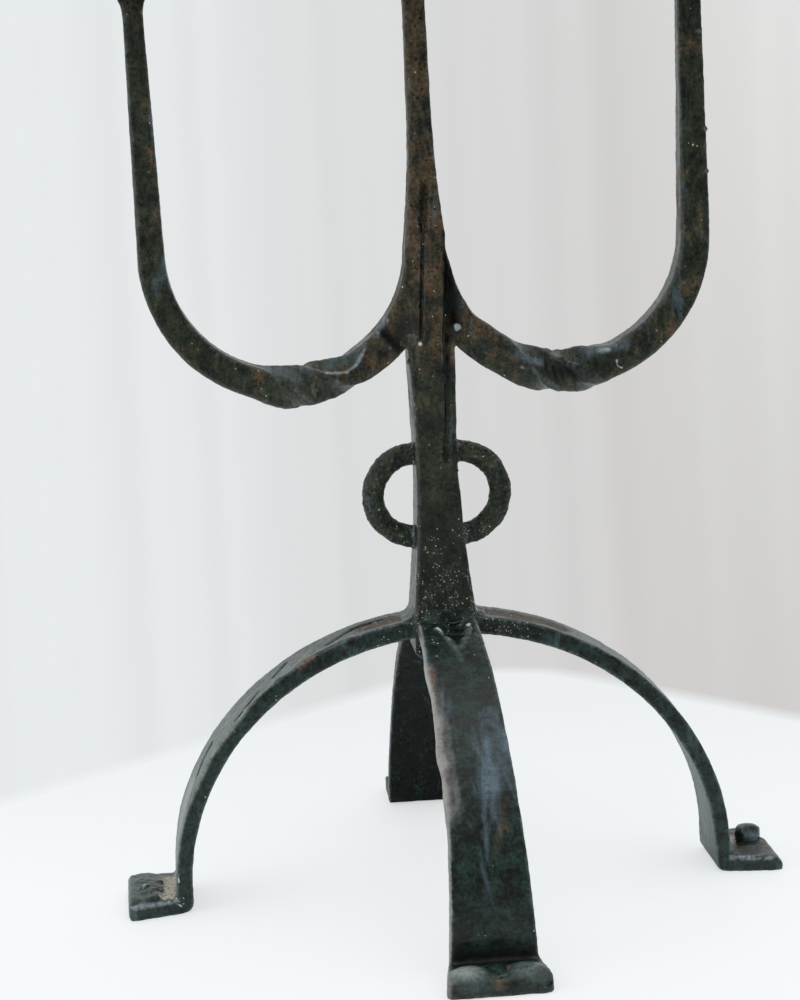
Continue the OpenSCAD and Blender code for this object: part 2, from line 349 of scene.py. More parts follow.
def shown(red, green, blue):
    # The linear colour that a screen shows as these 0 to 255 values.
    return tuple(((v / 255 + 0.055) / 1.055) ** 2.4 for v in (red, green, blue))


ironColours = {
    "black": shown(13, 18, 13),         # old black wax and oxide; also the painted shade in seams and hollows
    "green": shown(51, 61, 39),         # the same, thinner
    "sea": shown(36, 67, 59),           # the same on the legs, cooler
    "rustDark": shown(50, 40, 27),
    "rustLight": shown(100, 83, 62),
    "red": shown(98, 63, 48),           # fresh rust
    "steelSheen": shown(104, 122, 132),      # rubbed steel, and the painted blue sheen of the light that it mirrors
    "worn": shown(148, 155, 162),       # edges, and painted glints and highlights on folds and lumps
    "side": shown(160, 155, 150),       # painted highlight on a bar's side that faces the light
    "coolHighlight": shown(122, 140, 136),       # the same painted highlight on the legs
    # a painted highlight
    "paleHighlight": shown(168, 174, 164),
    "blush": shown(156, 108, 80),       # thin rust on a rubbed edge
    "dust": shown(206, 215, 208),       # lime dust and dried wax, and painted glints
    "sand": shown(196, 187, 162),       # the dirt in a foot's inner corner
    "earth": shown(122, 100, 72),
}
ironSizes = {                   # of the noises and the cells, in mm
    "broad": 20,
    "fresh": 11,
    "streaks": 8,
    "blotch": 6,
    "pits": 2.6,
    "fine": 1.6,
    "ragged": 1.2,
    "flecks": 0.95,
    "grit": 0.6,
}
ironEdges = {
    # where these start on their noise, how much earlier at a full share, and how wide they are
    "rust": (0.66, 0.32, 0.11),
    "steelSheen": (0.60, 0.20, 0.18),
    "coatWidth": 0.19,
    # where these start and are full, and their share there where that isn't 0 and 1
    "rustBreaks": (0.34, 0.55, 0.5),
    "brown": (0.42, 0.64),
    "fresh": (0.58, 0.68, 0.0),
    "steelSheenBreaks": (0.30, 0.55, 0.6),
    "pits": (0.56, 0.40),
    "ragged": (0.40, 0.32),
    "corner": (0.512, 0.57),    # on Pointiness
    "worn": (0.42, 0.58, 0.1),
    "side": (0.38, 0.58, 0.3),
    "rubbedAndGlints": (0.43, 0.57, 0.15),
    "painted": (0.42, 0.58, 0.45),
    "shadeAndGrime": (0.30, 0.50, 0.6),
    "soil": (0.40, 0.56),
    "dirt": (1.15, 1.55, 0.0, 0.9),
    "clusters": (0.46, 0.60, 0.0, 2.6),
    "flecks": (1.0, 0.78),
    "faint": (0.04, 0.26, 1.0, 0.16),
    "spotsAndGlints": (0.75, 1.05, 0.0),
}
ironShares = {
    "steelSheen": 0.8,
    "metal": 0.5,               # how metallic the steel is
    "pits": 0.85,
    "roundPits": 0.22,          # of the cells
    "flecks": 0.9,
    "strayFlecks": 0.008,       # of the cells, away from the hub
}
ironFinish = {
    "uneven": 0.5,              # how much the roughness varies
    "rust": 0.26,               # what rust and pits add to it, and what steel takes off
    "pits": 0.16,
    "steelSheen": 0.10,
    "glossLoss": 1.2,           # for what rust and pits add
    # painted shade dulls the gloss by this much
    "shadeGlossLoss": 0.28,
}
ironRelief = {"blotch": 0.50, "fine": 0.30, "grit": 0.10, "pits": -0.14, "flecks": 0.08}
hubFlecks = ([(3, -8, 128)], 44, 0.5)
padHeight = (13, 9)             # mm: the edges below are worn more
sheenFade = 16                  # mm


def within(value, edge, *top):
    # As rise, between one of the layers' edges.
    return rise(value, *ironEdges[edge], *top)


def paint(share, base, tone):
    # Lays one of the iron's colours over the base.
    return blend(share, base, ironColours[tone])


def addNear(where, value, places):
    # Adds a gain to a value round each place.
    for path, reach, gain in places:
        value = total(value, times(near(where, path, reach), gain))
    return value


def makeNoises(where, look):
    drawn = stretched(where, look.get("grain", (1, 1, 1)))
    noises = {
        "broad": noise(where, ironSizes["broad"], distortion=0.5),
        "blotch": noise(drawn, ironSizes["blotch"], detail=8, roughness=0.62),
        "fine": noise(where, ironSizes["fine"], detail=5, roughness=0.7),
        "grit": noise(where, ironSizes["grit"], detail=2, roughness=0.5),
    }
    noises["mottle"] = total(times(noises["blotch"], 0.5), times(noises["fine"], 0.5))
    return noises


def coatIron(noises, look):
    # Black oxide, thin in places.
    start = look.get("thin", 0.41)
    thin = rise(noises["mottle"], start, start + ironEdges["coatWidth"])
    return blend(thin, ironColours["black"], ironColours[look.get("coat", "green")])


def addRust(where, noises, look, base):
    # Brown rust in patches, redder where it is fresh.
    rust = total(times(noises["broad"], 0.5), times(noises["blotch"], 0.5))
    rust = addNear(where, rust, look.get("rustAt", []))
    start, earlier, width = ironEdges["rust"]
    start -= earlier * look["rust"]
    rust = rise(rust, start, start + width)
    rust = times(rust, within(noises["fine"], "rustBreaks"))
    brown = within(noises["mottle"], "brown")
    brown = blend(brown, ironColours["rustDark"], ironColours["rustLight"])
    fresh = noise(where, ironSizes["fresh"], distortion=0.4)
    fresh = within(fresh, "fresh", look.get("fresh", 0.5))
    return blend(rust, base, blend(fresh, brown, ironColours["red"])), rust


def addSteelSheen(where, height, noises, look, base):
    # Rubbed steel in long streaks, with a painted sheen: a blue-grey colour for the light that it
    # mirrors.
    drawn = stretched(where, look.get("streaks", (1, 1, 0.3)))
    streaks = noise(drawn, ironSizes["streaks"], distortion=0.8)
    streaks = addNear(where, streaks, look.get("sheenAt", []))
    start, earlier, width = ironEdges["steelSheen"]
    start -= earlier * look["sheen"]
    steelSheen = rise(streaks, start, start + width)
    if "sheenFrom" in look:
        low, high = (v * mm for v in look["sheenFrom"])
        steelSheen = times(steelSheen, between(height, low, high, sheenFade * mm))
    steelSheen = times(steelSheen, within(noises["fine"], "steelSheenBreaks"))
    return paint(times(steelSheen, ironShares["steelSheen"]), base, "steelSheen"), steelSheen


def addPits(where, noises, look, base):
    # Ragged pits, and a few round ones.
    depth, tint = cells(where, ironSizes["pits"])
    hole = within(total(depth, times(noises["fine"], 0.5)), "pits")
    hole = times(hole, combine("LESS_THAN", tint, ironShares["roundPits"]))
    ragged = noise(where, ironSizes["ragged"], detail=3, roughness=0.5)
    ragged = within(ragged, "ragged")
    hole = times(combine("MAXIMUM", hole, ragged), look["pits"])
    return paint(times(hole, ironShares["pits"]), base, "black"), hole


def addWearAndHighlights(tree, where, height, noises, look, base):
    # Worn edges, more so on the pads, a painted highlight on the faces turned to the light from the
    # left, worn marks and painted glints, and marks of their own colours, painted highlights, sheen
    # and shade among them.
    mottle = noises["mottle"]
    shape = node(tree, "NewGeometry")
    edge = within(shape.outputs["Pointiness"], "corner")
    edge = times(edge, within(mottle, "worn"))
    low = rise(height, *(v * mm for v in padHeight), 1.0, look.get("padWear", 1.0))
    edge = combine("MINIMUM", times(edge, look["worn"], low), 1.0)
    base = paint(edge, base, "worn")
    # a painted highlight: faces turned towards -X, where the left lamp is, get a lighter colour
    if "side" in look:
        facing = node(tree, "SeparateXYZ")
        feed(facing.inputs["Vector"], shape.outputs["Normal"])
        side = rise(facing.outputs["X"], *look["sideTurn"], 0.0, look["side"])
        side = times(side, within(mottle, "side"))
        base = paint(side, base, look.get("sideColour", "side"))
    for path, reach, strength in look.get("rubbedAndGlints", []):
        share = near(where, path, reach)
        share = times(share, within(noises["fine"], "rubbedAndGlints"), strength)
        base = paint(share, base, "worn")
    for path, reach, strength, tone in look.get("painted", []):
        share = near(where, path, reach)
        share = times(share, share, within(mottle, "painted"), strength)
        base = paint(share, base, tone)
    return base


def addShadeAndDirt(where, noises, look, base):
    # Black, dull dirt and painted shade in the seams, cracks and hollows, and light dirt in the
    # corners.
    fine = noises["fine"]
    shadeDulling = 0.0
    for path, reach in look.get("shadeAndGrime", []):
        dark = times(near(where, path, reach), within(fine, "shadeAndGrime"))
        base = paint(dark, base, "black")
        shadeDulling = combine("MAXIMUM", shadeDulling, times(dark, ironFinish["shadeGlossLoss"]))
    for path, reach in look.get("sandAt", []):
        dirt = total(times(near(where, path, reach), 0.7), times(fine, 1.6))
        soil = within(fine, "soil")
        soil = blend(soil, ironColours["earth"], ironColours["sand"])
        base = blend(within(dirt, "dirt"), base, soil)
    return base, shadeDulling


def addFlecks(where, noises, look, base):
    # Dust in single flecks, thick near the hub and many of them faint, and larger spots: some of
    # them painted glints.
    depth, tint = cells(where, ironSizes["flecks"])
    depth = total(depth, times(noises["grit"], 1.3))
    share = addNear(where, ironShares["strayFlecks"], [hubFlecks])
    share = times(share, look["dust"], within(noises["blotch"], "clusters"))
    share = addNear(where, share, look.get("dustAt", []))
    speck = times(within(depth, "flecks"), combine("LESS_THAN", tint, share),
                  within(tint, "faint"))
    for path, reach, strength in look.get("spotsAndGlints", []):
        mark = total(near(where, path, reach), times(noises["fine"], 0.8))
        speck = combine("MAXIMUM", speck, within(mark, "spotsAndGlints", strength))
    return paint(times(speck, ironShares["flecks"]), base, "dust"), speck


# A skin's lists hold a path and a reach in mm. After these, rustAt, sheenAt and dustAt have a gain,
# the worn marks and painted glints (rubbedAndGlints) and the spots and painted glints
# (spotsAndGlints) a strength, and painted a strength and a colour.
def ironSkin(name, look):
    skin = bpy.data.materials.new(name)
    skin.use_nodes = True
    tree = skin.node_tree
    tree.nodes.clear()
    where = node(tree, "TexCoord").outputs["Object"]
    axes = node(tree, "SeparateXYZ")
    feed(axes.inputs["Vector"], where)
    height = axes.outputs["Z"]

    noises = makeNoises(where, look)
    base = coatIron(noises, look)
    base, rust = addRust(where, noises, look, base)
    base, steelSheen = addSteelSheen(where, height, noises, look, base)
    base, hole = addPits(where, noises, look, base)
    base = addWearAndHighlights(tree, where, height, noises, look, base)
    base, shadeDulling = addShadeAndDirt(where, noises, look, base)
    base, speck = addFlecks(where, noises, look, base)

    finish = ironFinish
    uneven = finish["uneven"]
    dull = total(times(rust, finish["rust"]), times(hole, finish["pits"]))
    rough = total(times(noises["mottle"], uneven), look["rough"] - uneven / 2, dull)
    rough = combine("SUBTRACT", rough, times(steelSheen, finish["steelSheen"]), clamp=True)
    loss = total(times(dull, finish["glossLoss"]), shadeDulling)
    gloss = combine("SUBTRACT", look["gloss"], loss, clamp=True)
    layers = {**noises, "pits": hole, "flecks": speck}
    relief = total(*(times(layers[key], gain) for key, gain in ironRelief.items()))

    shader = node(tree, "BsdfPrincipled")
    feed(shader.inputs["Base Color"], base)
    feed(shader.inputs["Metallic"], times(steelSheen, ironShares["metal"]))
    feed(shader.inputs["Roughness"], rough)
    feed(shader.inputs["Specular IOR Level"], gloss)
    bump = node(tree, "Bump")
    bump.inputs["Strength"].default_value = 1.0
    bump.inputs["Distance"].default_value = look.get("relief", 1.1) * mm
    feed(bump.inputs["Height"], relief)
    feed(shader.inputs["Normal"], bump.outputs["Normal"])
    feed(node(tree, "OutputMaterial").inputs["Surface"], shader.outputs["BSDF"])
    return skin


# The seams where the arms' roots are forged into the stem, as strokes.
seams = {
    "left": [
        ([(-1.3, -6.3, 311), (-2.0, -6.9, 301), (-2.7, -7.4, 293)], 1.2, 2.4, 1.5),
        ([(-2.8, -7.4, 291), (-4.2, -8.1, 270), (-5.5, -8.5, 247)], 0.5, 1.5, 0.8),
    ],
    "right": [
        ([(7.4, -7.0, 291), (6.9, -7.8, 268), (5.8, -8.4, 245)], 1.0, 2.4, 1.1),
        ([(5.8, -8.4, 243), (5.0, -8.6, 222), (3.8, -9.1, 193)], 1.4, 2.4, 1.2),
    ],
}
seamShade = (2.4, 1.3, 2.6, 2.2)        # how far the painted shade and dirt reach from each

# The bars' dents and skin are the same on the stem and the arms, so that they run on over a seam.
barDents = [(24, 0.5), (7, 0.28), (2.4, 0.28)]      # (size, depth) in mm
barSkin = {
    "rust": 0.45, "sheen": 0.0, "pits": 0.8, "worn": 0.45, "dust": 1.0, "rough": 0.36,
    "gloss": 0.5, "grain": (1, 1, 0.6),
    "rustAt": [([(0, 0, 262), (0, 0, 400)], 45, 0.11), ([(0, 0, 125)], 80, -0.05)],
    # painted shade and dark dirt along the seams, in the slot by the right arm's root and low on
    # the stem's left side
    "shadeAndGrime": [
        *((stroke[0], reach) for stroke, reach in zip(seams["left"] + seams["right"], seamShade)),
        ([(8.6, -7.6, 274), (9.2, -7.6, 252)], 4.5),
        ([(-14, -10, 109), (-14, 10, 109)], 10),
    ],
    # painted glints by the seams
    "spotsAndGlints": [([(-5.9, -8.5, 244.4)], 1.3, 0.9), ([(7.9, -8.8, 222.2)], 1.0, 0.9)],
    "painted": [([(0, -11, 158), (0, -14, 116)], 26, 0.45, "black")],
}
burrShape = {"width": 0.9, "reach": 1.6, "height": 1.4}

armLook = {
    "cell": 0.62,
    "soften": 6,
    "rootFlush": {      # brings each root's face level with the stem's
        "left": [([(-10, -7.5, 248), (-10, -7.5, 254)], 12, 16, (0, -0.9, 0))],
        "right": [([(9, -7.5, 246), (9, -7.5, 258)], 8, 14, (0, -0.3, 0)),
                  ([(9, -6, 292), (9, 6, 292)], 8, 13, (-1.5, 0, 0))],
    },
    "strokes": {
        "left": [
            # fills the twist's two notches
            ([(-55, -5, 225), (-55, 5, 225)], 5, 9, -1.8),
            ([(-55, -4, 236), (-55, 5, 236)], 3, 7, -1.2),
            ([(-69, -5, 222.8), (-69, 5, 222.8)], 6, 10, -0.9),
            ([(-60.5, -5, 222), (-60.5, 5, 222)], 5, 9, -1.1),
            # the fold over the twist, and the step under it
            ([(-54, -5.2, 235.2), (-45.8, -6.5, 233.5), (-38.1, -7.2, 233.5), (-33.8, -7.1, 236.5),
              (-31.1, -7.2, 241), (-29.6, -7.2, 244.5)], 0.9, 2.6, -1.0),
            ([(-45, -6.9, 230.8), (-37, -7.4, 230.4), (-30.5, -7.2, 234.5), (-27.8, -7.2, 240)],
             1.5, 3, 0.8),
            # lumps and a groove at the root
            ([(-23.8, -7.3, 249.1)], 1.5, 3, -0.7),
            ([(-20.4, -6.8, 255.3)], 1.5, 3, -0.7),
            ([(-22, -7.3, 247), (-20, -7.3, 241.5)], 1, 2.5, 0.8),
            ([(-18, -7.4, 257), (-21.5, -7.3, 251)], 1, 2.5, 0.6),
        ],
        "right": [
            ([(10.5, -7.8, 250.7)], 2.2, 2.6, -0.8),
            ([(9.3, -7.6, 268), (9.6, -7.6, 255)], 2.5, 3.5, 1.5),
            ([(7.8, -7.8, 254.8)], 1.2, 2.2, -0.8),
            ([(16, -7.8, 256), (22, -7.8, 249)], 2, 5, 0.7),
            # fills the twist's two notches
            ([(49.5, -5, 223.5), (49.5, 5, 223.5)], 5, 8, -1.4),
            ([(68, -5, 224.2), (68, 5, 224.2)], 6, 10, -1.8),
            ([(52, -5, 236.3), (52, 5, 236.3)], 3, 6, -0.9),
            ([(68, -5, 237), (68, 5, 237)], 5, 8, -1.6),
            ([(28.5, -5, 246), (28.5, 5, 246)], 7, 11, -1.5),
            # the fold over the twist, and the step under it
            ([(49, -4, 238), (53.4, -6.5, 235.5), (59.5, -7, 232.6), (65.8, -7.6, 229.7),
              (71.4, -7.7, 227.3)], 0.9, 2.6, -1.0),
            ([(50, -7, 232.5), (58, -7.5, 229), (66, -7.8, 226.2)], 1.5, 3.5, 0.7),
            ([(38.2, -7.3, 231.7), (46.2, -6.8, 232.1)], 1.2, 3, -0.7),
            ([(81.7, -7.2, 231)], 1.2, 2.4, 0.9),
        ],
    },
    "burrs": {          # small rough bumps on the outer edges
        "left": [(-19, -7, 243.5), (-14.5, -7, 243.0)],
        "right": [(122, -6, 330), (120, -6, 372), (122, -6, 312)],
    },
    # what is forged into the stem lies just under its skin: (place of a line across the bar, width)
    "sunk": {
        "left": [((-9, 310), 24), ((-9, 242), 9)],
        "right": [((7, 294), 20), ((8, 195), 16)],
    },
    "sink": 0.45,
    "sinkReach": 3,
    "halfDepth": 9,     # past half a bar's depth
    "skin": {
        **barSkin,
        "spotsAndGlints": [([(10.5, -7.8, 250.7)], 2.4, 0.55)],
        # more painted shade and dark dirt at the left root and under the right twist's fold
        "shadeAndGrime": barSkin["shadeAndGrime"] + [
            ([(-21.5, -7.5, 250), (-14, -7.5, 242)], 3),
            ([(53, -8, 230.5), (63, -8, 226.5)], 3.2),
        ],
        # painted glints on the left root's lumps and on the left twist
        "rubbedAndGlints": [
            ([(-23.8, -7.6, 250)], 1.8, 0.8),
            ([(-20.4, -7.2, 255.3)], 2.2, 0.9),
            ([(-36.6, -7.8, 231.3)], 0.9, 1.0),
        ],
        "painted": barSkin["painted"] + [
            ([(-15, -7.5, 246), (-9.5, -7.5, 254)], 9, 0.75, "black"),
            # painted shade under the right twist's fold
            ([(50, -8, 229), (66, -8, 226)], 6.5, 0.6, "black"),
            # painted highlights on the left twist's fold, and painted sheen on its faces and by its
            # root
            ([(-46, -5, 237.5), (-34, -6.5, 241.5)], 5.5, 0.35, "steelSheen"),
            ([(-54, -5.4, 235.4), (-45.8, -7.0, 233.8)], 1.3, 0.5, "side"),
            ([(-45.8, -7.0, 233.8), (-38.1, -7.8, 233.8)], 1.1, 0.7, "side"),
            ([(-38.1, -7.8, 233.8), (-33.8, -7.9, 236.8)], 1.2, 0.9, "worn"),
            ([(-33.8, -7.9, 236.8), (-31.1, -8.0, 241)], 1.5, 1.0, "worn"),
            ([(-31.1, -8.0, 241), (-30, -8.0, 243.5)], 1.0, 0.6, "worn"),
            ([(-20.2, -6.5, 258), (-22.4, -7.4, 251.2)], 2.2, 0.8, "steelSheen"),
            ([(-66, -2, 236.5), (-59.4, -5.6, 231.5)], 5.5, 0.35, "steelSheen"),
            # painted highlights on the right twist's fold, painted sheen and glints beside it, and
            # thin and fresh rust
            ([(49, -4, 238), (53.4, -6.6, 235.6)], 1.2, 0.7, "side"),
            ([(53.4, -6.6, 235.6), (59.5, -7.2, 232.8)], 1.1, 0.7, "coolHighlight"),
            ([(59.5, -7.2, 232.8), (71.4, -7.9, 227.4)], 1.1, 0.45, "coolHighlight"),
            ([(37.5, -7.6, 237.5), (46, -6.8, 233.5)], 4.0, 0.6, "steelSheen"),
            ([(46.5, -6.8, 232.3)], 1.8, 0.4, "blush"),
            ([(38.2, -7.5, 231.7), (43, -7.2, 231.3)], 1.3, 0.9, "paleHighlight"),
            ([(31, -7.6, 238.5), (36, -7.6, 234.5)], 2.2, 0.22, "blush"),
            ([(68, -6.6, 236.5), (84, -7, 239.5)], 4.2, 0.6, "steelSheen"),
            ([(72, -6.8, 236.8), (76.5, -7, 237.2)], 2.0, 0.5, "dust"),
            ([(80, -7.2, 232.2), (80.4, -7.2, 230.2)], 0.9, 1.0, "dust"),
            ([(80.6, -7.2, 229.8), (82.0, -7.2, 229.0)], 0.8, 1.0, "dust"),
            ([(60, -5, 222.6)], 2.0, 0.6, "red"),
        ],
    },
}

stemLook = {
    "cell": 0.62,
    "soften": 5,
    # the slope of the upright's front, to which the roots' tips are dressed down
    "uprightFace": ((0, -7.45 * mm, 289 * mm), (0, -1, 0.052)),
    "rootReach": 15,    # how far out an arm's root is taken into the skin
    "leftTip": 296,     # heights between which a seam shows
    "leftHeel": 250,
    "rightTip": 281,
    "rightTail": 207,
    "strokes": [
        ([(3, -7.6, 285), (1.6, -8.3, 262)], 2, 4, -0.3),
        ([(-9, -9, 236), (-8.5, -9.5, 205)], 2, 6, 0.5),
        ([(4, -10.5, 160), (0, -11.5, 140)], 5, 9, 0.5),
    ],
    "eased": [([(3.4, -9.2, 198), (8.5, -9.3, 183)], 8, 40)],
    "burrs": [(-13.2, -6, 236.5), (9.6, -5, 242), (9.8, -5, 236), (9.4, -5, 230), (9.2, -6, 219)],
}


def weldedEnd(arm, side, low=None, high=None):
    # The part of an arm's root that is forged into the stem, above or below a height.
    end = twin(arm, arm.name + "End")
    outward = -1 if side == "left" else 1
    cutOff(end, (outward * stemLook["rootReach"] * mm, 0, 0), (outward, 0, 0))
    if low:
        cutOff(end, (0, 0, low * mm), (0, 0, -1))
    if high:
        cutOff(end, (0, 0, high * mm), (0, 0, 1))
    return end


def makeBurrs(piece, places):
    look = burrShape
    press(piece, [([place], look["width"], look["reach"], -look["height"]) for place in places])


def startArm(side):
    arm = copyOfNode(side + "_arm")
    cutOff(arm, *stemLook["uprightFace"])
    revoxel(arm, armLook)
    pull(arm, armLook["rootFlush"][side])
    return arm


def makeStem(leftArm, rightArm):
    look = stemLook
    stem = copyOfNode("stem")
    join(stem, [
        weldedEnd(leftArm, "left", low=look["leftTip"]),
        weldedEnd(leftArm, "left", high=look["leftHeel"]),
        weldedEnd(rightArm, "right", low=look["rightTip"]),
        weldedEnd(rightArm, "right", high=look["rightTail"]),
    ])
    skinOver(stem, look)
    ease(stem, look["eased"])
    press(stem, seams["left"] + seams["right"] + look["strokes"])
    makeBurrs(stem, look["burrs"])
    hammer(stem, barDents)
    finishPiece(stem, "stem", ironSkin("stemIron", barSkin))


def finishArm(arm, side, skin):
    look = armLook
    soften(arm, look["soften"])
    press(arm, look["strokes"][side] + seams[side])
    deep = look["halfDepth"]
    for (x, z), width in look["sunk"][side]:
        press(arm, [([(x, -deep, z), (x, deep, z)], width, look["sinkReach"], look["sink"])])
    makeBurrs(arm, look["burrs"][side])
    hammer(arm, barDents)
    finishPiece(arm, side + "_arm", skin)


leftArm, rightArm = startArm("left"), startArm("right")
makeStem(leftArm, rightArm)
armSkin = ironSkin("armIron", armLook["skin"])
finishArm(leftArm, "left", armSkin)
finishArm(rightArm, "right", armSkin)


ringLook = {
    "cell": 0.5,
    "soften": 4,
    "dents": [(9, 0.8), (2.4, 0.7), (1.2, 0.25)],
    "skin": {"rust": 0.40, "sheen": 0.0, "pits": 1.0, "worn": 0.6, "dust": 1.6, "rough": 0.5,
             "gloss": 0.4},
}


def makeRings():
    skin = ironSkin("ringIron", ringLook["skin"])
    for side in ("left", "right"):
        ring = copyOfNode(side + "_ring")
        skinOver(ring, ringLook)
        hammer(ring, ringLook["dents"])
        finishPiece(ring, side + "_ring", skin)


makeRings()


legLook = {
    "cell": 0.68,
    "soften": 5,
    "rootFlare": {
        "front": [([(-9.5, -20, 121), (-9.5, -28, 119)], 3, 14, (-2.6, 0, 0.4))],
    },
    "strokes": {
        "left": [
            # two cracks and a fold along the outer face
            ([(-70, 5, 104), (-76, -1.4, 100)], 0.8, 1.5, 1.1),
            ([(-105.2, 1.7, 70.3), (-109.2, -0.9, 64), (-111.8, -4.7, 59.3)], 1.2, 1.8, 1.3),
            ([(-111.8, -4.7, 59.3), (-117.1, -13.5, 47.3)], 0.6, 1.4, 0.8),
            ([(-83.4, -5, 94.3), (-90.3, -11.5, 88.1), (-94.5, -12.2, 84)], 0.7, 1.4, 0.9),
            ([(-27.5, 3.3, 121.1), (-40.1, 3.5, 117.8), (-52.1, -5, 113.4)], 0.8, 2.0, 0.8),
            ([(-23.2, -11, 122), (-48.4, -8.7, 115), (-60.5, -8.8, 109.5), (-75, -10, 100.3),
              (-90, -12.6, 88)], 0.8, 2.8, -0.5),
            # the beaten pad
            ([(-143, -17, 8), (-134, -9, 9)], 1.2, 2.5, -0.9),
            ([(-143, -7, 8), (-136, 1, 9)], 1.2, 2.5, -0.8),
        ],
        "right": [
            ([(110, -4, 92), (118, -4, 76)], 3, 7, 0.7),
            ([(141, 2, 7), (137, -6, 7)], 3, 4, -0.8),
        ],
        "front": [
            ([(2, -60, 110), (3, -80, 97), (6, -100, 80)], 4, 10, 0.7),
            ([(-9, -124, 12), (10, -124, 12)], 2, 4, 0.5),
        ],
        "back": [],
    },
    "raised": {
        "left": [([(-140, -14, 10), (-138, 8, 10)], 14, 4, (0, 0, 2.0))],
        "right": [
            ([(145.5, -22, 1), (146.5, 20, 1)], 3, 7, (1.5, 0, 0)),
            ([(145.5, -22, 7), (146.5, 20, 7)], 3, 4, (-1.5, 0, 0)),
        ],
        "front": [
            ([(-10.5, -139, 10)], 11, 7, (0, 0, 2.8)),
            ([(12, -137, 10)], 10, 7, (0, 0, 2.4)),
            ([(17.5, -146, 7)], 4, 6, (0, 0, -2.6)),
            ([(-11, -42, 114), (-11, -56, 108), (-12, -72, 99), (-12.5, -86, 88)], 4, 14,
             (-2.2, 0, 0)),
            ([(-11, -48, 112), (-11, -62, 105)], 4, 16, (-1.0, 0, 0)),
            ([(-13, -93, 80), (-13.5, -100, 70)], 4, 14, (-1.0, 0, 0)),
            ([(-13, -66, 106), (-12.5, -80, 97), (-12.5, -93, 86), (-13, -108, 66)], 2, 6,
             (0, 1.8, -1.2)),
        ],
    },
    "eased": {"front": [
        ([(-18, -145.5, 7), (20, -145.5, 7)], 9, 25),
        ([(-13, -45, 114), (-14, -80, 96), (-15, -110, 60)], 4, 10),
    ]},
    # the pads' upper edges that show, where chips are broken out
    "edges": {
        "left": ((-125, -20, 6.8), (-144, -24.7, 6.8)),
        "right": ((123, -18.5, 6.8), (141, -21.2, 6.8)),
        "front": ((-17, -145.8, 6.5), (20, -145.8, 6.5)),
        "back": ((-15, 145.8, 6.5), (18, 145.8, 6.5)),
    },
    "chips": {"left": 9, "right": 12, "front": 0, "back": 6},
    "chipWidth": 1.0,
    "chipReach": (0.9, 1.9),
    "chipDepth": (0.2, 0.7),
}
